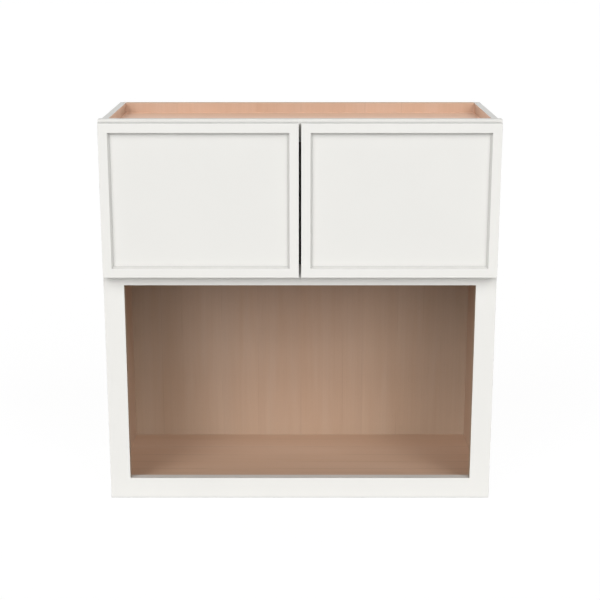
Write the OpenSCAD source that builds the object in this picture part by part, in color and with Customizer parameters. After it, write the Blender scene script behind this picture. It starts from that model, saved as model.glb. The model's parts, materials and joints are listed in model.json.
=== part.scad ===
// Microwave wall cabinet: a face-framed box with a compartment behind two slim-framed
// doors on top and an open bay for a microwave oven below.
// Origin at the middle of the footprint, on the underside, with the doors shut.
// +X is the right-hand side seen from the front, +Y the wall side, +Z up.

/* [Cabinet box] */
// Width across the face frame
cabinet_w = 762; // [700:1:914]
// Overall height
cabinet_h = 762; // [740:1:820]
// Depth of the box from the frame's front to the wall
cabinet_d = 304.8; // [280:0.1:400]
// Thickness of the side panels
side_t = 12.7; // [12:0.1:16]
// How far the side panels stand in from the frame's outer edges
side_inset = 6.3; // [3:0.1:10]
// Thickness of the top, deck and bottom panels
shelf_t = 12.7; // [12:0.1:16]
// Depth of the well on top, from the frame's top edge to the top panel
top_well = 19.7; // [10:0.1:28]
// Drop from a rail's top edge to the panel behind it
shelf_drop = 8.8; // [0:0.1:20]
// Depth of the grooves and housings that hold the panels
groove = 6.3; // [4:0.1:7]
// Thickness of the tongues on the ends of the top, deck and bottom panels
shelf_tongue_t = 6.3; // [5:0.1:8]
// Thickness of the back panel
back_t = 6.3; // [5:0.1:7]
// Thickness of the hanging rails behind the back panel
hang_t = 12.7; // [12:0.1:19]
// Height of the hanging rails
hang_h = 76; // [60:1:100]

/* [Face frame] */
// Thickness of the face frame
frame_t = 19; // [18:0.1:22]
// Width of the frame's stiles
stile_w = 39.7; // [38:0.1:45]
// Width of the frame's rails
rail_w = 42.4; // [38:0.1:50]
// Height of the open bay between its rails
bay_h = 399; // [380:1:420]
// Length of the tenons on the rails
tenon_l = 19; // [10:0.1:20]
// Thickness of the tenons
tenon_t = 6.3; // [5:0.1:7]

/* [Doors] */
// Thickness of the doors
door_t = 19; // [19:0.1:22]
// Gap between the doors' backs and the frame, set by the bumpers
door_gap = 3; // [3:0.1:4]
// Height of the doors
door_h = 295.4; // [280:0.1:298]
// Frame left showing above the doors
top_reveal = 5.1; // [3:0.1:8]
// Frame left showing beside each door
side_reveal = 2.5; // [1:0.1:6]
// Gap between the two doors
centre_gap = 4.6; // [2:0.1:6]
// Flat width of the door's frame members
member_face = 17.5; // [17:0.1:18]
// Width of the bevel inside them
bevel_w = 3.8; // [3.5:0.1:4.5]
// Depth of the panel's face below the frame's face
recess = 8; // [6:0.1:8]
// Length of the tongue round the panel
tongue_l = 6; // [4:0.1:8]
// Thickness of the tongue
tongue_t = 5; // [4:0.1:5]

/* [Hinges] */
// Distance of each hinge's centre from the door's end
hinge_end = 65; // [55:1:75]
// Diameter of the cup's bore
cup_d = 35; // [34:0.5:35]
// Depth of the cup's bore beside the pin
cup_depth = 11.5; // [11:0.1:11.8]
// Wood left between the bore and the panel's face
cup_floor = 1.5; // [1:0.1:2]
// Wood left between the bore and the door's edge
cup_edge = 3; // [3:0.1:4]
// Diameter of the hinge pin
pin_d = 2.5; // [2:0.1:2.6]
// Distance of the pin's axis from the door's outer edge
pin_u = 7; // [7:0.1:7.5]
// Distance of the pin's axis from the door's front face
pin_v = 10.6; // [10.6:0.1:10.8]
// Opening angle of the doors
open_angle = 105; // [90:1:105]
// Door angle to draw, 0 shut
shown_angle = 0; // [0:1:105]

/* [Hidden] */

$fn = 64;
eps = 0.5;              // how far a cutter runs past the face it cuts

LEFT = -1;
RIGHT = 1;

// Depths, from the doors' front to the wall
total_d = door_t + door_gap + cabinet_d;
y_door = -total_d / 2;
y_frame = y_door + door_t + door_gap;
y_box = y_frame + frame_t;
y_wall = total_d / 2;
y_hang = y_wall - hang_t;
y_back = y_hang - back_t;

// Heights, from the underside up
z_bay = rail_w;
z_mid = z_bay + bay_h;
z_upper = z_mid + rail_w;
z_top_rail = cabinet_h - rail_w;
z_bottom_panel = z_bay - shelf_drop - shelf_t;
z_deck_panel = z_upper - shelf_drop - shelf_t;
z_top_panel = cabinet_h - top_well - shelf_t;

// Half widths, from the middle out
x_open = cabinet_w / 2 - stile_w;
x_side_out = cabinet_w / 2 - side_inset;
x_side_in = x_side_out - side_t;
x_housing = x_side_in + groove;
tenon_h = rail_w - 2 * groove;

// Doors, in their own coordinates: u inwards from the outer edge, v back from the front
tongue_lip = 3;         // from the panel's face to its tongue
door_w = cabinet_w / 2 - side_reveal - centre_gap / 2;
door_out = cabinet_w / 2 - side_reveal;
z_door = cabinet_h - top_reveal - door_h;
member_w = member_face + bevel_w;
tongue_v = recess + tongue_lip;
u_stile_edge = door_out - x_open;

// Hinges, in the door's coordinates
cup_r = cup_d / 2;
cup_u = cup_edge + cup_r;
cup_v = door_t - cup_depth;
cup_step_in = 1.5;      // how far inside the member's edge the bore's deep part ends
cup_step_u = member_w - cup_step_in;
cup_shallow_v = max(cup_v, recess + cup_floor);     // the bore's floor over the panel
cup_wall = 0.8;
flange_t = 0.8;
flange_r = 18.5;
wing_r = 5.5;           // round ends of the flange, one about each cup screw
cup_screw_u = 26;
cup_screw_z = 24;
lug_t = 1.5;
lug_h = 4.7;
lug_w = 5;
barrel_r = 2;
barrel_half = 4;
lug_gap = 0.3;
pin_fit = 0.05;         // running clearance between pin and barrel, on the radius
pin_end = 0.7;          // how far the pin stands out past the lugs
pin_half = barrel_half + lug_gap + lug_t + pin_end;
arm_t = 1.5;
arm_over_t = 1.2;       // the arm is thinner where it passes over the frame
arm_clear = 0.5;        // air between the arm and the frame's face
arm_ramp_in = 2.8;      // how far before the bore's step the arm begins to slope
arm_ramp_u = cup_step_u - arm_ramp_in;
arm_ramp_w = 8;
arm_slant = 0.5;        // keeps the arm's thickness where it slopes
plate_half = 23;
plate_d = 17;           // how far the arm's plate reaches back along the stile's edge
arm_screw_z = 16;
arm_screw_y = 9;

// Wood screws with a round head
screw_r = 1.75;
head_r = 3.2;
head_h = 1.4;
drive_w = 0.9;          // the cross drive's slots: width, half length and floor
drive_half = 1.9;
drive_floor = 0.6;
cup_screw_l = 9;
arm_screw_l = 15;

// Bumpers on the doors' backs
bumper_r = 4.5;
bumper_t = 2.7;
bumper_taper = 1;       // how much its radius shrinks towards the frame
bumper_u = 12;          // from the free edge
bumper_z = 12;          // from the door's ends

white = [0.93, 0.925, 0.91];
maple = [0.83, 0.68, 0.55];
steel = [0.72, 0.72, 0.72];
clear_plastic = [0.85, 0.85, 0.82];

// ---------- helpers ----------

// Draws what is meant for the left-hand side on either side
module on_side(side) {
    mirror([side == RIGHT ? 1 : 0, 0, 0]) children();
}

// A box between two corners
module block(low, high) {
    translate(low) cube(high - low);
}

// Door coordinates (u, v, height above the door's bottom) of one door, swung to its angle
module on_door(side) {
    on_side(side)
        translate([pin_u - door_out, y_door + pin_v, z_door])
            rotate([0, 0, -shown_angle])
                translate([-pin_u, -pin_v, 0]) children();
}

// The same coordinates, but staying with the cabinet
module by_door(side) {
    on_side(side) translate([-door_out, y_door, z_door]) children();
}

// Height of the upper or lower hinge above the door's bottom
function hinge_z(upper) = upper ? door_h - hinge_end : hinge_end;

// A round-headed wood screw along -X, its head's underside at the origin
module screw(length) {
    rotate([0, 90, 0]) difference() {
        union() {
            cylinder(h = head_h, r = head_r);
            translate([0, 0, -length]) cylinder(h = length, r = screw_r);
        }
        for (turn = [0, 90])
            rotate([0, 0, turn])
                block([-drive_half, -drive_w / 2, drive_floor], [drive_half, drive_w / 2, head_h + eps]);
    }
}

// The hole that a screw's shank fills
module screw_hole(length) {
    rotate([0, -90, 0]) cylinder(h = length, r = screw_r);
}

// ---------- face frame ----------

module stile(side) {
    color(white) on_side(side) difference() {
        block([-cabinet_w / 2, y_frame, 0], [-x_open, y_box, cabinet_h]);
        // groove for the side panel's front edge
        block([-x_side_out, y_box - groove, -eps], [-x_side_in, y_box + eps, cabinet_h + eps]);
        // mortises
        for (z = [0, z_mid, z_top_rail])
            translate([0, 0, z])
                block([-x_open - tenon_l, y_frame + (frame_t - tenon_t) / 2, groove],
                      [-x_open + eps, y_frame + (frame_t + tenon_t) / 2, groove + tenon_h]);
        arm_screw_holes();
    }
}

module frame_rail(z) {
    color(white) translate([0, 0, z]) {
        block([-x_open, y_frame, 0], [x_open, y_box, rail_w]);
        for (side = [LEFT, RIGHT])
            on_side(side)
                block([-x_open - tenon_l, y_frame + (frame_t - tenon_t) / 2, groove],
                      [-x_open, y_frame + (frame_t + tenon_t) / 2, groove + tenon_h]);
    }
}

module arm_screw_holes() {
    at_arm_screws(u_stile_edge) screw_hole(arm_screw_l);
}

// Places its child at each of one side's arm screws, at distance u from the door's edge
module at_arm_screws(u) {
    for (upper = [false, true], end = [-1, 1])
        translate([u - door_out, y_frame + arm_screw_y,
                   z_door + hinge_z(upper) + end * arm_screw_z]) children();
}

// ---------- box ----------

module side_panel(side) {
    color(white) on_side(side) difference() {
        block([-x_side_out, y_box - groove, 0], [-x_side_in, y_wall, cabinet_h]);
        for (z = [z_bottom_panel, z_deck_panel, z_top_panel])
            block([-x_housing, y_box, z], [-x_side_in + eps, y_hang, z + shelf_tongue_t]);
        block([-x_housing, y_back, -eps], [-x_side_in + eps, y_hang, cabinet_h + eps]);
    }
}

// A level panel, with a tongue along each end's underside that enters the side's housing
module cross_panel(z) {
    color(maple) {
        block([-x_side_in, y_box, z], [x_side_in, y_back, z + shelf_t]);
        block([-x_housing, y_box, z], [x_housing, y_back, z + shelf_tongue_t]);
    }
}

module back_panel() {
    color(maple) block([-x_housing, y_back, 0], [x_housing, y_hang, cabinet_h]);
}

module hanging_rail(z) {
    color(maple) block([-x_side_in, y_hang, z], [x_side_in, y_wall, z + hang_h]);
}

// ---------- doors ----------

// Section of a door's frame member: outer edge at 0, bevel and groove on the inside
function member_section() = [
    [0, 0],
    [member_face, 0],
    [member_w, recess],
    [member_w, tongue_v],
    [member_w - tongue_l, tongue_v],
    [member_w - tongue_l, tongue_v + tongue_t],
    [member_w, tongue_v + tongue_t],
    [member_w, door_t],
    [0, door_t]
];

// A frame member with mitred ends, upright, its outer edge on the Z axis
module member(length) {
    intersection() {
        linear_extrude(height = length) polygon(member_section());
        translate([0, door_t, 0]) rotate([90, 0, 0])
            linear_extrude(height = door_t)
                polygon([[0, 0], [member_w, member_w], [member_w, length - member_w], [0, length]]);
    }
}

module hinge_stile(side) {
    color(white) on_door(side) difference() {
        member(door_h);
        cup_bores();
    }
}

module free_stile(side) {
    color(white) on_door(side) translate([door_w, 0, 0]) mirror([1, 0, 0]) member(door_h);
}

module door_rail(side, top) {
    color(white) on_door(side)
        translate([0, 0, top ? door_h : 0]) mirror([0, 0, top ? 0 : 1])
            rotate([0, 90, 0]) member(door_w);
}

module door_panel(side) {
    tongue = member_w - tongue_l;
    color(white) on_door(side) difference() {
        union() {
            block([member_w, recess, member_w], [door_w - member_w, door_t, door_h - member_w]);
            block([tongue, tongue_v, tongue],
                  [door_w - tongue, tongue_v + tongue_t, door_h - tongue]);
        }
        cup_bores();
    }
}

// Bores for both hinge cups and holes for their screws
module cup_bores() {
    for (upper = [false, true])
        translate([0, 0, hinge_z(upper)]) {
            cup_form(0, door_t + eps);
            at_cup_screws(door_t) rotate([0, 0, 90]) screw_hole(cup_screw_l);
        }
}

// A round pocket open at the back, deep beside the pin and shallower over the thin panel;
// inset makes it smaller on all its closed sides
module cup_form(inset, back_v) {
    cup_cylinder(inset, cup_shallow_v + inset, back_v);
    intersection() {
        cup_cylinder(inset, cup_v + inset, back_v);
        block([cup_u - cup_d, 0, -cup_d], [cup_step_u - inset, back_v + eps, cup_d]);
    }
}

module cup_cylinder(inset, front_v, back_v) {
    translate([cup_u, front_v, 0]) rotate([-90, 0, 0])
        cylinder(h = back_v - front_v, r = cup_r - inset);
}

// Places its child at one hinge's two cup screws, at depth v
module at_cup_screws(v) {
    for (end = [-1, 1])
        translate([cup_screw_u, v, end * cup_screw_z]) children();
}

module door_bumpers(side) {
    color(clear_plastic) on_door(side)
        for (z = [bumper_z, door_h - bumper_z])
            translate([door_w - bumper_u, door_t, z]) rotate([-90, 0, 0])
                cylinder(h = bumper_t, r1 = bumper_r, r2 = bumper_r - bumper_taper);
}

// ---------- hinges ----------

// Pressed steel cup with its flange and the two lugs that hold the pin
module hinge_cup(side, upper) {
    color(steel) on_door(side) translate([0, 0, hinge_z(upper)]) difference() {
        union() {
            difference() {
                cup_form(0, door_t + flange_t);
                cup_form(cup_wall, door_t + flange_t + eps);
            }
            cup_flange();
            intersection() {
                for (end = [-1, 1])
                    translate([pin_u - lug_w / 2, cup_v + cup_wall / 2,
                               end > 0 ? barrel_half + lug_gap : -barrel_half - lug_gap - lug_t])
                        cube([lug_w, lug_h + cup_wall / 2, lug_t]);
                cup_cylinder(cup_wall / 2, cup_v, door_t);
            }
        }
        translate([pin_u, pin_v, 0]) cylinder(h = 2 * pin_half, r = pin_d / 2, center = true);
        at_cup_screws(door_t + flange_t + eps)
            rotate([0, 0, 90]) screw_hole(flange_t + 2 * eps);
    }
}

module cup_flange() {
    translate([0, door_t, 0]) rotate([-90, 0, 0]) linear_extrude(height = flange_t)
        difference() {
            union() {
                translate([cup_u, 0]) circle(r = flange_r);
                for (end = [-1, 1]) translate([cup_screw_u, end * cup_screw_z]) circle(r = wing_r);
                translate([cup_screw_u - wing_r, -cup_screw_z]) square([2 * wing_r, 2 * cup_screw_z]);
            }
            translate([cup_u, 0]) circle(r = cup_r - cup_wall);
        }
}

// Arm that turns on the pin, comes out of the cup, passes over the frame's face and is
// screwed to the stile's inner edge
module hinge_arm(side, upper) {
    over_v = door_t + door_gap - arm_clear;     // face of the arm next to the frame
    low_v = pin_v - barrel_r;
    plate_u = u_stile_edge + arm_t;
    strip = [
        [pin_u, low_v],
        [arm_ramp_u + arm_slant, low_v],
        [arm_ramp_u + arm_ramp_w + arm_slant, over_v - arm_over_t],
        [plate_u, over_v - arm_over_t],
        [plate_u, over_v],
        [arm_ramp_u + arm_ramp_w - arm_slant, over_v],
        [arm_ramp_u - arm_slant, low_v + arm_t],
        [pin_u, low_v + arm_t]
    ];
    color(steel) by_door(side) translate([0, 0, hinge_z(upper)]) difference() {
        union() {
            translate([pin_u, pin_v, 0]) cylinder(h = 2 * barrel_half, r = barrel_r, center = true);
            translate([0, 0, -barrel_half]) linear_extrude(height = 2 * barrel_half) polygon(strip);
            block([u_stile_edge, over_v - arm_over_t, -plate_half],
                  [plate_u, door_t + door_gap + plate_d, plate_half]);
        }
        translate([pin_u, pin_v, 0])
            cylinder(h = 2 * pin_half, r = pin_d / 2 + pin_fit, center = true);
        for (end = [-1, 1])
            translate([plate_u + eps, door_t + door_gap + arm_screw_y, end * arm_screw_z])
                screw_hole(arm_t + 2 * eps);
    }
}

module hinge_pins(side) {
    color(steel) on_door(side)
        for (upper = [false, true])
            translate([pin_u, pin_v, hinge_z(upper)])
                cylinder(h = 2 * pin_half, r = pin_d / 2, center = true);
}

module cup_screws(side) {
    color(steel) on_door(side)
        for (upper = [false, true])
            translate([0, 0, hinge_z(upper)])
                at_cup_screws(door_t + flange_t) rotate([0, 0, 90]) screw(cup_screw_l + flange_t);
}

module arm_screws(side) {
    color(steel) on_side(side)
        at_arm_screws(u_stile_edge + arm_t) screw(arm_screw_l + arm_t);
}

// ---------- the nodes ----------

stile(LEFT);  // left_stile
stile(RIGHT);  // right_stile
frame_rail(z_top_rail);  // top_rail
frame_rail(z_mid);  // mid_rail
frame_rail(0);  // bottom_rail
side_panel(LEFT);  // left_side_panel
side_panel(RIGHT);  // right_side_panel
cross_panel(z_top_panel);  // top_panel
cross_panel(z_deck_panel);  // deck_panel
cross_panel(z_bottom_panel);  // bottom_panel
back_panel();
hanging_rail(cabinet_h - hang_h);  // upper_hanging_rail
hanging_rail(0);  // lower_hanging_rail
hinge_stile(LEFT);  // left_door_hinge_stile
free_stile(LEFT);  // left_door_free_stile
door_rail(LEFT, true);  // left_door_top_rail
door_rail(LEFT, false);  // left_door_bottom_rail
door_panel(LEFT);  // left_door_panel
hinge_stile(RIGHT);  // right_door_hinge_stile
free_stile(RIGHT);  // right_door_free_stile
door_rail(RIGHT, true);  // right_door_top_rail
door_rail(RIGHT, false);  // right_door_bottom_rail
door_panel(RIGHT);  // right_door_panel
hinge_cup(LEFT, true);  // left_upper_hinge_cup
hinge_cup(LEFT, false);  // left_lower_hinge_cup
hinge_arm(LEFT, true);  // left_upper_hinge_arm
hinge_arm(LEFT, false);  // left_lower_hinge_arm
hinge_cup(RIGHT, true);  // right_upper_hinge_cup
hinge_cup(RIGHT, false);  // right_lower_hinge_cup
hinge_arm(RIGHT, true);  // right_upper_hinge_arm
hinge_arm(RIGHT, false);  // right_lower_hinge_arm
hinge_pins(LEFT);  // left_hinge_pins
hinge_pins(RIGHT);  // right_hinge_pins
cup_screws(LEFT);  // left_cup_screws
cup_screws(RIGHT);  // right_cup_screws
arm_screws(LEFT);  // left_arm_screws
arm_screws(RIGHT);  // right_arm_screws
door_bumpers(LEFT);  // left_door_bumpers
door_bumpers(RIGHT);  // right_door_bumpers
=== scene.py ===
"""Looks for the microwave cabinet: paint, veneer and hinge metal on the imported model, a pale
floor, soft studio light and the photograph's camera. Lengths are in metres, the front faces -Y."""

import json
import math

import bpy
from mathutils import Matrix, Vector
from mathutils.bvhtree import BVHTree


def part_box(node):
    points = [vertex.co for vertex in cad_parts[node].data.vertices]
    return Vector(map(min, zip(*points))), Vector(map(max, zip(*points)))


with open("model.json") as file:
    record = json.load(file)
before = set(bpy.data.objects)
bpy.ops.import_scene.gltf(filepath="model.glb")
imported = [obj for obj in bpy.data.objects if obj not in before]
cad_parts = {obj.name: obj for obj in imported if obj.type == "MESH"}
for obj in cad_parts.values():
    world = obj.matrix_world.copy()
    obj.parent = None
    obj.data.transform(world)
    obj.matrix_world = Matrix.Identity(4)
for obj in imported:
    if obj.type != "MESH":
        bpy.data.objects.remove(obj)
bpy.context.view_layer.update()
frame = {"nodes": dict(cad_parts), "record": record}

MM = 0.001
NODES = frame["nodes"]
SLOTS = {part["node"]: part["material_slot"] for part in frame["record"]["subparts"]}

# ---------------------------------------------------------------- camera

IMAGE_SIDE = 600            # the photograph's side, in pixels
FOCAL_PX = 1393.8           # focal length in the photograph's pixels
PITCH = math.radians(15.18)  # how far the camera looks down
CAMERA_DISTANCE = 2.6287    # from the face frame's front
CAMERA_HEIGHT = 1.0738
CENTRE_ROW = 325.6          # the row that the optical axis meets
SENSOR = 36.0               # the sensor's width, in millimetres
FAR_CLIP = 200.0
FRAME_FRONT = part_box("left_stile")[0].y


def make_camera():
    data = bpy.data.cameras.new("camera")
    data.sensor_width = SENSOR
    data.lens = FOCAL_PX / IMAGE_SIDE * SENSOR
    data.shift_y = (CENTRE_ROW - IMAGE_SIDE / 2) / IMAGE_SIDE
    data.clip_end = FAR_CLIP
    camera = bpy.data.objects.new("camera", data)
    camera.location = (0.0, FRAME_FRONT - CAMERA_DISTANCE, CAMERA_HEIGHT)
    camera.rotation_euler = (math.pi / 2 - PITCH, 0.0, 0.0)
    bpy.context.scene.collection.objects.link(camera)
    bpy.context.scene.camera = camera


make_camera()

# ---------------------------------------------------------------- colours


def srgb(r, g, b, level=1.0):
    """Linear colour of an sRGB triple given from 0 to 255, times a level."""
    def linear(c):
        c /= 255.0
        return c / 12.92 if c <= 0.04045 else ((c + 0.055) / 1.055) ** 2.4
    return (linear(r) * level, linear(g) * level, linear(b) * level, 1.0)


def grey(value):
    return (value, value, value, 1.0)


WHITE = (238, 237, 233)      # the paint, as the lit door fronts show it
STILE_EDGE_TAN = (172, 153, 133)  # darker and browner than the white, on the stiles' inner edges
MAPLE = (194, 162, 138)      # the back of the bay
MAPLE_IN_SHADE = (177, 155, 135)  # painted shade: the back's colour where walls close round it, greyer and darker
MAPLE_SIDE = (190, 163, 142)  # the side panels
MAPLE_FLOOR = (193, 163, 140)  # the floor of the bay
MAPLE_WELL_LIT = (198, 165, 142)  # painted light: lighter and warmer round the open well on top
MAPLE_LID_LIT = (233, 194, 167)  # painted light: the top panel much paler, for the light and sheen on the well's floor
PLY_PALE = (222, 200, 176)
PLY_TAN = (176, 140, 108)
NICKEL = (205, 203, 198)
ZINC = (190, 194, 200)
MILKY = (226, 227, 222)

# ---------------------------------------------------------------- node trees


def feed(tree, socket, value):
    """Links a socket to another, or sets it to a value."""
    if isinstance(value, bpy.types.NodeSocket):
        tree.links.new(value, socket)
    else:
        socket.default_value = value


def add_node(tree, kind, inputs=None, **settings):
    node = tree.nodes.new(kind)
    for key, value in settings.items():
        setattr(node, key, value)
    for key, value in (inputs or {}).items():
        feed(tree, node.inputs[key], value)
    return node


class Look:
    """A material's node tree, with short calls for the nodes that the materials share."""

    def __init__(self, name):
        self.material = bpy.data.materials.new(name)
        self.material.use_nodes = True
        self.tree = self.material.node_tree
        self.shader = self.tree.nodes["Principled BSDF"]
        self.place = self.add("ShaderNodeTexCoord").outputs["Object"]

    def add(self, kind, inputs=None, **settings):
        return add_node(self.tree, kind, inputs, **settings)

    def math(self, operation, a, b=0.0):
        return self.add("ShaderNodeMath", {0: a, 1: b}, operation=operation).outputs[0]

    def along(self, axis):
        """The object coordinate along an axis."""
        return self.add("ShaderNodeSeparateXYZ", {0: self.place}).outputs[axis]

    def stretched(self, stretch, shift=0.0):
        """Object coordinates, moved by shift and drawn out along an axis by a stretch below 1."""
        node = self.add("ShaderNodeMapping", {"Vector": self.place, "Scale": stretch,
                                              "Location": (shift, shift, shift)})
        return node.outputs["Vector"]

    def noise(self, vector, scale, detail=2.0, roughness=0.5, distortion=0.0):
        node = self.add("ShaderNodeTexNoise", {
            "Vector": vector, "Scale": scale, "Detail": detail, "Roughness": roughness,
            "Distortion": distortion})
        return node.outputs["Fac"]

    def openness(self, reach, samples):
        """1 where nothing else stands within reach, towards 0 the more does."""
        node = self.add("ShaderNodeAmbientOcclusion", {"Distance": reach}, samples=samples)
        return node.outputs["AO"]

    def level(self, value, span, result):
        """Maps a span of values to a span of results and holds the ends."""
        node = self.add("ShaderNodeMapRange", {
            "Value": value, "From Min": span[0], "From Max": span[1],
            "To Min": result[0], "To Max": result[1]}, clamp=True)
        return node.outputs["Result"]

    def blend(self, factor, a, b, how="MIX"):
        node = self.add("ShaderNodeMix", data_type="RGBA", blend_type=how)
        # a mix node has sockets of one name for each data type: 6 and 7 are the colours
        for key, value in (("Factor", factor), (6, a), (7, b)):
            feed(self.tree, node.inputs[key], value)
        return node.outputs[2]

    def shade(self, colour, amount):
        """Multiplies a colour by a grey amount."""
        tone = self.add("ShaderNodeCombineColor", {0: amount, 1: amount, 2: amount})
        return self.blend(1.0, colour, tone.outputs[0], "MULTIPLY")

    def bump(self, height, depth, strength):
        node = self.add("ShaderNodeBump", {"Height": height, "Distance": depth,
                                           "Strength": strength})
        feed(self.tree, self.shader.inputs["Normal"], node.outputs["Normal"])

    def finish(self, colour, roughness, **values):
        feed(self.tree, self.shader.inputs["Base Color"], colour)
        feed(self.tree, self.shader.inputs["Roughness"], roughness)
        for key, value in values.items():
            self.shader.inputs[key.replace("_", " ")].default_value = value
        return self.material


# spans of a noise's values: the middle ones, most of them and nearly all
MIDDLE, MOST, WIDE = (0.35, 0.65), (0.3, 0.7), (0.2, 0.8)
FULL = (0.0, 1.0)

# ---------------------------------------------------------------- paint

# noises, here and below, have their scale in waves per metre
PAINT_CLOUD = {"scale": 7.0, "detail": 3.0}
PAINT_HAZE = {"scale": 45.0, "detail": 4.0}
ORANGE_PEEL = {"scale": 420.0}

PAINT_TONE = (0.992, 1.0)
PAINT_ROUGHNESS = (0.40, 0.52)
PEEL_DEPTH, PEEL_STRENGTH = 0.05 * MM, 0.35
# painted shade: the paint darkens in inner corners, more where other surfaces close in
CREVICE_REACH = 6 * MM      # how far from an inner corner the paint looks darker,
CREVICE_SPAN = (0.35, 1.0)  # at which openness
CREVICE_SHADE = 0.78         # and its level deep in the corner
CREVICE_SAMPLES = 8

# Painted shade: darker copies of the white for faces that fall in shade.
BAY_EDGE_SHADE = 0.72            # painted shade, as the paint's level: on the rails' edges inside the bay,
PANEL_SHADE = 0.97           # on the door panels,
BEVEL_SHADE = 0.845          # on the doors' bevels,
TOP_SHADE = 0.81             # on the frame's and sides' edges that face up
LEDGE_SHADE = 0.77           # and on the doors' edges and bevels that do


def make_paint(name, shade_level=1.0, colour=WHITE):
    """Satin white lacquer: faint orange peel and uneven gloss. Painted shade: a touch darker in
    inner corners, and darker all over by the level given.
    """
    look = Look(name)
    tone = look.level(look.noise(look.place, **PAINT_CLOUD), MIDDLE, PAINT_TONE)
    # painted shade in inner corners
    corner = look.level(look.openness(CREVICE_REACH, CREVICE_SAMPLES), CREVICE_SPAN,
                        (CREVICE_SHADE, 1.0))
    look.bump(look.noise(look.place, **ORANGE_PEEL), PEEL_DEPTH, PEEL_STRENGTH)
    return look.finish(look.shade(srgb(*colour, shade_level), look.math("MULTIPLY", tone, corner)),
                       look.level(look.noise(look.place, **PAINT_HAZE), MOST, PAINT_ROUGHNESS))


paint = make_paint("paint")
# painted shade: the paints given a level below 1 are darker copies of the white for faces in shade
paint_bay_shade = make_paint("paint_bay_shade", BAY_EDGE_SHADE)
# a darker, browner tone on the stiles' inner edges
paint_stile_edge = make_paint("paint_stile_edge", colour=STILE_EDGE_TAN)
paint_panel_shade = make_paint("paint_panel_shade", PANEL_SHADE)
paint_bevel_shade = make_paint("paint_bevel_shade", BEVEL_SHADE)
paint_top_shade = make_paint("paint_top_shade", TOP_SHADE)
paint_ledge_shade = make_paint("paint_ledge_shade", LEDGE_SHADE)

# ---------------------------------------------------------------- veneer

FIGURE = {"scale": 26.0, "detail": 3.0, "roughness": 0.55, "distortion": 0.4}
STREAK = {"scale": 330.0, "detail": 4.0, "roughness": 0.62}
PORES = {"scale": 1400.0}
SEAM_WEAR = {"scale": 9.0, "detail": 1.0}

FIGURE_STRETCH, STREAK_STRETCH, PORES_STRETCH = 0.07, 0.012, 0.05    # along the grain
STREAK_SHIFT, PORES_SHIFT = 3.1, 7.7        # each noise is taken from a place of its own
FIGURE_TONE = (0.975, 1.025)
STREAK_SPAN, STREAK_TONE = (0.25, 0.75), (0.972, 1.025)
PORES_SPAN, PORES_TONE = (0.60, 0.78), (1.0, 0.92)
LEAF_TONE = (0.97, 1.03)
SEAM_TONE = (1.0, 0.90)
SEAM_DEPTH = 0.6            # share of the grain's own relief
SEAM_CORE = 0.2             # share of a seam's width that is darkest
WEAR_SPAN = (0.42, 0.58)
FIGURE_SATURATION = (1.06, 0.96)
VENEER_ROUGHNESS = (0.37, 0.49)
GRAIN_DEPTH, GRAIN_STRENGTH = 0.12 * MM, 0.5

LEAF = 88 * MM              # usual width of a veneer leaf
LEAF_START = 0.37           # in leaf widths
LEAF_SEAM = (0.490, 0.498)  # distance from a leaf's middle at which its seam begins, in widths
DEPTH_REACH = 350 * MM      # how far the veneer looks for walls round it, for its painted shade
DEPTH_SPAN = (0.30, 0.75)
DEPTH_SAMPLES = 6
FADE_SPAN = (60 * MM, 170 * MM)     # painted light: the back's veneer is lighter near the floor:
FADE_TONE = (1.03, 0.92)            # its level there and higher up
WELL_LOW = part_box("top_panel")[1].z
WELL_SPAN = (WELL_LOW - 10 * MM, WELL_LOW)  # heights over which the painted light of the well sets in

# where leaves meet, and their tones, on the back from left to right, on the floor from the front
BACK_SEAMS = [x * MM for x in (-300, -256, -169.5, -91, 2, 93, 135, 211, 267, 306)]
BACK_TONES = (0.60, 0.65, 1.00, 0.55, 0.12, 0.30, 0.45, 0.95, 1.00, 0.80, 0.75)
FLOOR_SEAMS = [y * MM for y in (-90, -65, -24, 17, 66, 113.5, 142)]
FLOOR_TONES = (0.20, 0.05, 0.25, 0.35, 0.60, 1.00, 0.90, 0.50)
SEAM_HALF = 1.0 * MM        # how far a seam's darkening reaches to either side,
FLOOR_SEAM_HALF = 3.0 * MM  # and on the floor
HALF_SPREAD = 0.5           # no seam lies further from the middle


def even_leaves(look, cross):
    """Leaves of one width and of random tones: their tones and their seams."""
    step = look.math("ADD", look.math("DIVIDE", cross, LEAF), LEAF_START)
    leaf = look.add("ShaderNodeTexWhiteNoise", {"W": look.math("FLOOR", step)},
                    noise_dimensions="1D").outputs["Value"]
    off_middle = look.math("ABSOLUTE", look.math("SUBTRACT", look.math("FRACT", step), 0.5))
    return leaf, look.level(off_middle, LEAF_SEAM, FULL)


def placed_leaves(look, cross, seams, tones, seam_half):
    """Leaves that meet at given seams: their tones and their seams."""
    ramp = look.add("ShaderNodeValToRGB", {
        "Fac": look.level(cross, (-HALF_SPREAD, HALF_SPREAD), FULL)})
    ramp.color_ramp.interpolation = "CONSTANT"
    stops = ramp.color_ramp.elements
    stops[0].position, stops[0].color = 0.0, grey(tones[0])
    stops.remove(stops[1])
    for place, tone in zip(seams, tones[1:]):
        stops.new((place + HALF_SPREAD) / (2 * HALF_SPREAD)).color = grey(tone)
    line = None
    for place in seams:
        distance = look.math("ABSOLUTE", look.math("SUBTRACT", cross, place))
        near = look.level(distance, (SEAM_CORE * seam_half, seam_half), (1.0, 0.0))
        line = near if line is None else look.math("MAXIMUM", line, near)
    return ramp.outputs["Color"], line


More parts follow.
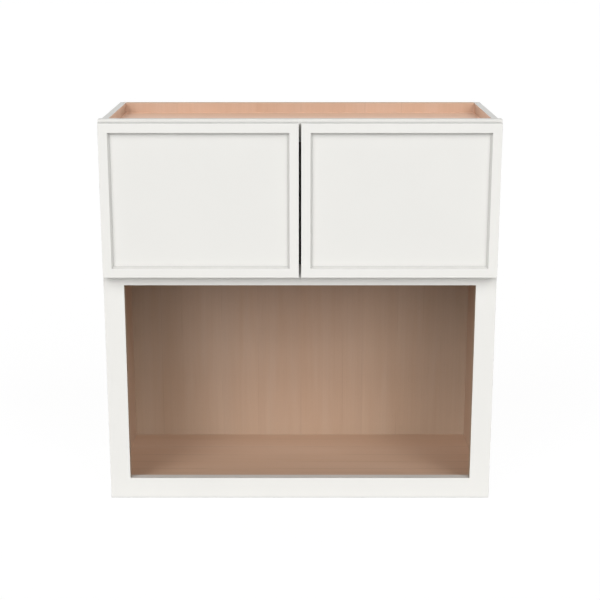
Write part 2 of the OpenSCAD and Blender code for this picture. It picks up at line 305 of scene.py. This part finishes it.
def make_veneer(name, grain, base=MAPLE, deep=None, seams=(), tones=(), seam_half=SEAM_HALF):
    """Sliced maple: leaves side by side, long soft figure, fine streaks and short pores. Upright
    veneer gets painted light, lighter and warmer round the open well on top.
    grain is the axis along the fibres, deep the colour of painted shade near the walls round it
    (upright veneer with it is also painted lighter towards the floor), seams the places across the
    fibres where leaves meet, seam_half how far each darkens them and tones the leaves' own tones
    from 0 to 1."""
    look = Look(name)

    def drawn(ratio, shift=0.0):
        return look.stretched([ratio if axis == grain else 1.0 for axis in "XYZ"], shift)

    figure = look.noise(drawn(FIGURE_STRETCH), **FIGURE)
    streak = look.noise(drawn(STREAK_STRETCH, STREAK_SHIFT), **STREAK)
    pores = look.noise(drawn(PORES_STRETCH, PORES_SHIFT), **PORES)
    cross = look.along("Y" if grain == "X" else "X")
    if seams:
        leaf, line = placed_leaves(look, cross, seams, tones, seam_half)
    else:
        leaf, line = even_leaves(look, cross)
    line = look.math("MULTIPLY", line,
                     look.level(look.noise(look.place, **SEAM_WEAR), WEAR_SPAN, FULL))
    tone = look.level(leaf, FULL, LEAF_TONE)
    for part, span, result in (
        (figure, MOST, FIGURE_TONE),
        (streak, STREAK_SPAN, STREAK_TONE),
        (pores, PORES_SPAN, PORES_TONE),
        (line, FULL, SEAM_TONE),
    ):
        tone = look.math("MULTIPLY", tone, look.level(part, span, result))
    colour = srgb(*base)
    # painted shade: greyer, darker veneer where walls close round it
    if deep:
        open_air = look.openness(DEPTH_REACH, DEPTH_SAMPLES)
        colour = look.blend(look.level(open_air, DEPTH_SPAN, FULL), srgb(*deep), colour)
    if grain == "Z":
        height = look.along("Z")
        if deep:
            # painted light: lighter towards the bay's floor, darker higher up
            colour = look.shade(colour, look.level(height, FADE_SPAN, FADE_TONE))
        # painted light: lighter, warmer colour round the open well on top
        colour = look.blend(look.level(height, WELL_SPAN, FULL), colour, srgb(*MAPLE_WELL_LIT))
    warm = look.add("ShaderNodeHueSaturation", {
        "Color": colour, "Saturation": look.level(figure, MOST, FIGURE_SATURATION)})
    relief = look.math("SUBTRACT", streak, look.level(line, FULL, (0.0, SEAM_DEPTH)))
    look.bump(relief, GRAIN_DEPTH, GRAIN_STRENGTH)
    return look.finish(look.shade(warm.outputs[0], tone),
                       look.level(streak, WIDE, VENEER_ROUGHNESS))


veneer_back = make_veneer("veneer_back", "Z", deep=MAPLE_IN_SHADE, seams=BACK_SEAMS,
                          tones=BACK_TONES)
veneer_side = make_veneer("veneer_side", "Z", base=MAPLE_SIDE)
veneer_floor = make_veneer("veneer_floor", "X", base=MAPLE_FLOOR, seams=FLOOR_SEAMS,
                           tones=FLOOR_TONES, seam_half=FLOOR_SEAM_HALF)
# painted light: the top panel's veneer far paler, for the light and sheen on the well's floor
veneer_lid_lit = make_veneer("veneer_lid_lit", "X", base=MAPLE_LID_LIT)

# ---------------------------------------------------------------- plywood edges

PLY_LAYER = 1.45 * MM
PLY_WAVE = {"scale": 60.0}
PLY_FIBRE = {"scale": 1500.0, "detail": 3.0}
WAVE_SHARE = 0.35           # how far the layers wander, in pairs of layers
LAYER_EDGE = (0.2, 0.3)     # where one layer turns into the next
FIBRE_STRETCH = 0.15        # along the layers
FIBRE_TONE = (0.55, 1.0)
PLY_ROUGHNESS = (0.7, 0.85)
PLY_DEPTH, PLY_STRENGTH = 0.15 * MM, 0.4


def make_ply(thin):
    """The cut edge of plywood: thin layers across its thickness, every other one end grain."""
    look = Look("ply_edge_" + thin.lower())
    wavy = look.math("MULTIPLY", look.noise(look.place, **PLY_WAVE), WAVE_SHARE)
    turn = look.math("ADD", look.math("DIVIDE", look.along(thin), 2 * PLY_LAYER), wavy)
    layer = look.level(look.math("PINGPONG", turn, 0.5), LAYER_EDGE, FULL)
    stretch = [1.0 if axis == thin else FIBRE_STRETCH for axis in "XYZ"]
    fibre = look.noise(look.stretched(stretch), **PLY_FIBRE)
    mix = look.math("MULTIPLY", layer, look.level(fibre, MOST, FIBRE_TONE))
    look.bump(look.math("ADD", fibre, layer), PLY_DEPTH, PLY_STRENGTH)
    return look.finish(look.blend(mix, srgb(*PLY_PALE), srgb(*PLY_TAN)),
                       look.level(fibre, WIDE, PLY_ROUGHNESS))


ply_x, ply_y, ply_z = (make_ply(axis) for axis in "XYZ")

# ---------------------------------------------------------------- metal and plastic

METAL_LINES = {"scale": 3600.0}
METAL_CLOUD = {"scale": 260.0, "detail": 4.0, "roughness": 0.6}
METAL_RUBS = {"scale": 900.0, "detail": 3.0}
METAL_TONE = (0.92, 1.0)
LINES_FINER, LINES_ROUGHER = 0.03, 0.05     # how far the drawn grain changes the roughness
RUBS_SPAN, RUBS_ROUGHER = (0.55, 0.8), (0.0, 0.12)
LINES_DEPTH, LINES_STRENGTH = 0.01 * MM, 0.25
DRAWN_UP, UNDRAWN = (1.0, 1.0, 0.08), (1.0, 1.0, 1.0)   # the grain's stretch
NICKEL_ROUGHNESS, ZINC_ROUGHNESS = 0.26, 0.34

PLASTIC_CLOUD = {"scale": 700.0}
PLASTIC_GRAIN = {"scale": 2400.0}
PLASTIC_TONE = (0.93, 1.0)
PLASTIC_ROUGHNESS = (0.22, 0.34)
PLASTIC_DEPTH, PLASTIC_STRENGTH = 0.02 * MM, 0.4
PLASTIC_COAT = 0.3


def make_metal(name, colour, roughness, grain):
    """Plated steel: a fine drawn grain, a clouded plating and small rubbed marks."""
    look = Look(name)
    lines = look.noise(look.stretched(grain), **METAL_LINES)
    cloud = look.noise(look.place, **METAL_CLOUD)
    rubs = look.noise(look.place, **METAL_RUBS)
    around = (roughness - LINES_FINER, roughness + LINES_ROUGHER)
    rough = look.math("ADD", look.level(lines, MOST, around),
                      look.level(rubs, RUBS_SPAN, RUBS_ROUGHER))
    look.bump(lines, LINES_DEPTH, LINES_STRENGTH)
    return look.finish(look.shade(srgb(*colour), look.level(cloud, MOST, METAL_TONE)), rough,
                       Metallic=1.0)


def make_bumper():
    """Soft clear-white plastic, moulded, a little cloudy inside."""
    look = Look("bumper_plastic")
    cloud = look.noise(look.place, **PLASTIC_CLOUD)
    look.bump(look.noise(look.place, **PLASTIC_GRAIN), PLASTIC_DEPTH, PLASTIC_STRENGTH)
    return look.finish(look.shade(srgb(*MILKY), look.level(cloud, MOST, PLASTIC_TONE)),
                       look.level(cloud, MOST, PLASTIC_ROUGHNESS), Coat_Weight=PLASTIC_COAT)


nickel = make_metal("nickel_plate", NICKEL, NICKEL_ROUGHNESS, DRAWN_UP)
zinc = make_metal("zinc_plate", ZINC, ZINC_ROUGHNESS, UNDRAWN)
bumper = make_bumper()

# ---------------------------------------------------------------- who gets what


def dress(names, materials, choose=None):
    """Gives nodes their materials. choose(normal, centre) is the number of a face's material."""
    for name in names:
        mesh = NODES[name].data
        mesh.materials.clear()
        for material in materials:
            mesh.materials.append(material)
        for face in mesh.polygons:
            face.material_index = choose(face.normal, face.center) if choose else 0


def of_slot(slot):
    return [name for name in NODES if SLOTS[name] == slot]


MOSTLY, SLIGHTLY = 0.5, 0.1         # parts of a face's normal that lie along an axis
RISING = 0.3                        # least upward part on a door's edge or bevel that faces up
BEVEL_LEAST, BEVEL_MOST = 0.2, 0.8  # forward part of the normal of a door's bevel
BAY_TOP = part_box("mid_rail")[1].z
BAY_MIDDLE = (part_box("bottom_rail")[1].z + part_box("mid_rail")[0].z) / 2


def side_face(normal, centre):
    """1 for a side panel's inner face, 2 for its rear and lower edges, 3 for its upper one."""
    if normal.x * centre.x < 0 and abs(normal.x) > MOSTLY:
        return 1
    if normal.y > MOSTLY or normal.z < -MOSTLY:
        return 2
    return 3 if normal.z > MOSTLY else 0


def door_face(normal, centre):
    """1 for a door member's bevel, 2 for an edge or a bevel that faces up."""
    if normal.z > RISING:
        return 2
    return 1 if BEVEL_LEAST < -normal.y < BEVEL_MOST else 0


def frame_face(normal, centre):
    """1 for the rails' edges in the bay, 2 for the others that face up, 3 for the stiles'
    inner edges."""
    if normal.x * centre.x < -SLIGHTLY:
        return 3
    into_bay = normal.z * (BAY_MIDDLE - centre.z) > 0 and abs(normal.z) > MOSTLY
    if into_bay and centre.z < BAY_TOP:
        return 1
    return 2 if normal.z > MOSTLY else 0


def board_face(thin):
    """Veneer on a board's two faces and ply on its edges; thin is the axis of its thickness."""
    def choose(normal, centre):
        return 0 if abs(normal["XYZ".index(thin)]) > MOSTLY else 1
    return choose


dress(of_slot("white_paint"), [paint])
dress(["left_door_panel", "right_door_panel"], [paint_panel_shade])
dress(["left_stile", "right_stile", "top_rail", "mid_rail", "bottom_rail"],
      [paint, paint_bay_shade, paint_top_shade, paint_stile_edge], frame_face)
dress([name for name in of_slot("white_paint") if "_door_" in name and "panel" not in name],
      [paint, paint_bevel_shade, paint_ledge_shade], door_face)
dress(of_slot("hinge_steel"), [nickel])
dress(of_slot("screw_steel"), [zinc])
dress(of_slot("bumper_plastic"), [bumper])
dress(["left_side_panel", "right_side_panel"], [paint, veneer_side, ply_x, paint_top_shade],
      side_face)
dress(["back_panel"], [veneer_back, ply_y], board_face("Y"))
dress(["top_panel"], [veneer_lid_lit, ply_z], board_face("Z"))
dress(["deck_panel", "bottom_panel"], [veneer_floor, ply_z], board_face("Z"))
dress(["upper_hanging_rail", "lower_hanging_rail"], [veneer_floor, ply_y], board_face("Y"))

# ---------------------------------------------------------------- eased edges

EASE = {"white_paint": 0.7 * MM, "maple_veneer": 0.5 * MM, "hinge_steel": 0.2 * MM}
EASE_SEGMENTS = 3
SHARP = math.radians(30)    # edges that turn by more than this are sharp,
SQUARE = math.radians(80)   # and by more than this square
BLUNT_SHARE = 0.35          # share of the easing on an edge blunter than square
TOUCH = 0.15 * MM           # pieces closer than this meet without a gap
SHORTEST = 4 * MM           # edges shorter than this stay as they are
INSIDE = 0.001 * MM         # how far behind its neighbour's plane a face has to lie
SAME_POINT = 0.01 * MM      # corners this close are one
SAME_PLANE = math.radians(0.5)
LOOKS_ALONG = [0.02 + 0.04 * i for i in range(25)]  # places on an edge, from 0 to 1


def solid_tree(mesh):
    return BVHTree.FromPolygons([v.co for v in mesh.vertices],
                                [tuple(face.vertices) for face in mesh.polygons])


def near_trees(name, trees, boxes):
    """The trees of the nodes that could touch this one."""
    low, high = boxes[name]
    return [trees[other] for other, (l, h) in boxes.items() if other != name and all(
        l[i] - TOUCH < high[i] and h[i] + TOUCH > low[i] for i in range(3))]


def mark_edges(mesh, others):
    """Marks every sharp edge as one, and gives bevel weight to those that point outwards and
    that no other piece touches. The mesh's corners aren't joined, so edges are matched by
    where they end."""
    corners = [tuple(round(c / SAME_POINT) for c in v.co) for v in mesh.vertices]

    def ends(pair):
        return tuple(sorted(corners[i] for i in pair))

    sides = {}
    for face in mesh.polygons:
        for pair in face.edge_keys:
            sides.setdefault(ends(pair), []).append((face.normal, face.center))
    mesh.attributes.remove(mesh.attributes["custom_normal"])
    weights = mesh.attributes.new("bevel_weight_edge", "FLOAT", "EDGE")
    for edge in mesh.edges:
        a, b = (mesh.vertices[i].co for i in edge.vertices)
        beside = sides.get(ends(edge.vertices), ())
        if len(beside) != 2:
            continue
        (normal, _), (other_normal, other_centre) = beside
        turn = normal.angle(other_normal, 0.0)
        edge.use_edge_sharp = turn > SHARP
        outwards = (other_centre - a).dot(normal) < -INSIDE
        if turn < SHARP or not outwards or (b - a).length < SHORTEST:
            continue
        points = [a.lerp(b, t) for t in LOOKS_ALONG]
        if not any(tree.find_nearest(p, TOUCH)[0] for tree in others for p in points):
            weights.data[edge.index].value = 1.0 if turn > SQUARE else BLUNT_SHARE


def ease_edges():
    """Takes the sharpness off every edge that a hand or a sanding block would reach."""
    trees = {name: solid_tree(obj.data) for name, obj in NODES.items()}
    boxes = {name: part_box(name) for name in NODES}
    for name, obj in NODES.items():
        width = EASE.get(SLOTS[name])
        if width is None or name.endswith("pins"):
            continue
        mark_edges(obj.data, near_trees(name, trees, boxes))
        weld = obj.modifiers.new("weld", "WELD")
        weld.merge_threshold = SAME_POINT
        flat = obj.modifiers.new("flat", "DECIMATE")
        flat.decimate_type = "DISSOLVE"
        flat.angle_limit = SAME_PLANE
        flat.delimit = {"MATERIAL"}
        bevel = obj.modifiers.new("ease", "BEVEL")
        bevel.limit_method = "WEIGHT"
        bevel.width = width
        bevel.segments = EASE_SEGMENTS
        bevel.use_clamp_overlap = False


ease_edges()

# ---------------------------------------------------------------- stage and light

bpy.context.scene.view_settings.view_transform = "Standard"

FLOOR_HALF = 60.0
FLOOR_GREY = 0.5            # how much light the floor sends back up
FLOOR_ROUGHNESS = 0.9
SEEN_GLOW = 0.94            # the white floor's own part of what the camera sees
SEEN_DIFFUSE = 0.09         # its lit part, which holds the cabinet's shadow
WORLD_LIGHT = 0.09          # the studio's dim all-round light
LAMP_DISTANCE = 5.0

# name, turn from the front towards the right, height above level, spread (degrees), strength
LAMPS = (
    ("front_left", -25, 20, 30, 0.252),
    ("front_right", 25, 20, 30, 0.206),
    ("high_left", -40, 40, 30, 0.312),
    ("high_right", 40, 40, 30, 0.290),
    ("rear_left", -135, 4, 30, 0.500),
    ("rear_right", 135, 4, 30, 0.500),
)


def shown_white(tree):
    """1 for the rays that show the backdrop: the camera's, mirrored ones and those through
    glass."""
    rays = add_node(tree, "ShaderNodeLightPath").outputs
    shown = rays["Is Camera Ray"]
    for kind in ("Is Glossy Ray", "Is Transmission Ray"):
        shown = add_node(tree, "ShaderNodeMath", {0: shown, 1: rays[kind]},
                         operation="MAXIMUM").outputs[0]
    return shown


def make_floor():
    """White to the camera and in reflections, with the shadow kept, and a mid grey to the
    light."""
    mesh = bpy.data.meshes.new("floor")
    h = FLOOR_HALF
    mesh.from_pydata([(-h, -h, 0), (h, -h, 0), (h, h, 0), (-h, h, 0)], [], [(0, 1, 2, 3)])
    floor = bpy.data.objects.new("floor", mesh)
    bpy.context.scene.collection.objects.link(floor)
    look = Look("floor")
    look.finish(grey(FLOOR_GREY), FLOOR_ROUGHNESS)
    glow = look.add("ShaderNodeEmission", {"Color": grey(1.0), "Strength": SEEN_GLOW})
    lit = look.add("ShaderNodeBsdfDiffuse", {"Color": grey(SEEN_DIFFUSE)})
    seen = look.add("ShaderNodeAddShader", {0: glow.outputs[0], 1: lit.outputs[0]})
    choice = look.add("ShaderNodeMixShader", {
        0: shown_white(look.tree), 1: look.shader.outputs[0], 2: seen.outputs[0]})
    look.tree.links.new(choice.outputs[0], look.tree.nodes["Material Output"].inputs["Surface"])
    mesh.materials.append(look.material)


def make_lamps():
    """Broad distant lamps. At strength 1 a white face square to a lamp looks white."""
    for name, turn, height, spread, strength in LAMPS:
        data = bpy.data.lights.new(name, "SUN")
        data.angle = math.radians(spread)
        data.energy = strength * math.pi
        lamp = bpy.data.objects.new(name, data)
        t, h = math.radians(turn), math.radians(height)
        towards = Vector((math.sin(t) * math.cos(h), -math.cos(t) * math.cos(h), math.sin(h)))
        lamp.location = towards * LAMP_DISTANCE
        lamp.rotation_euler = towards.to_track_quat("Z", "Y").to_euler()
        bpy.context.scene.collection.objects.link(lamp)


def make_world():
    """White where the backdrop shows, and dim as a light."""
    world = bpy.data.worlds.new("world")
    bpy.context.scene.world = world
    world.use_nodes = True
    tree = world.node_tree
    strength = add_node(tree, "ShaderNodeMapRange", {
        "Value": shown_white(tree), "To Min": WORLD_LIGHT, "To Max": 1.0})
    sky = tree.nodes["Background"]
    feed(tree, sky.inputs["Color"], grey(1.0))
    feed(tree, sky.inputs["Strength"], strength.outputs[0])


make_floor()
make_lamps()
make_world()
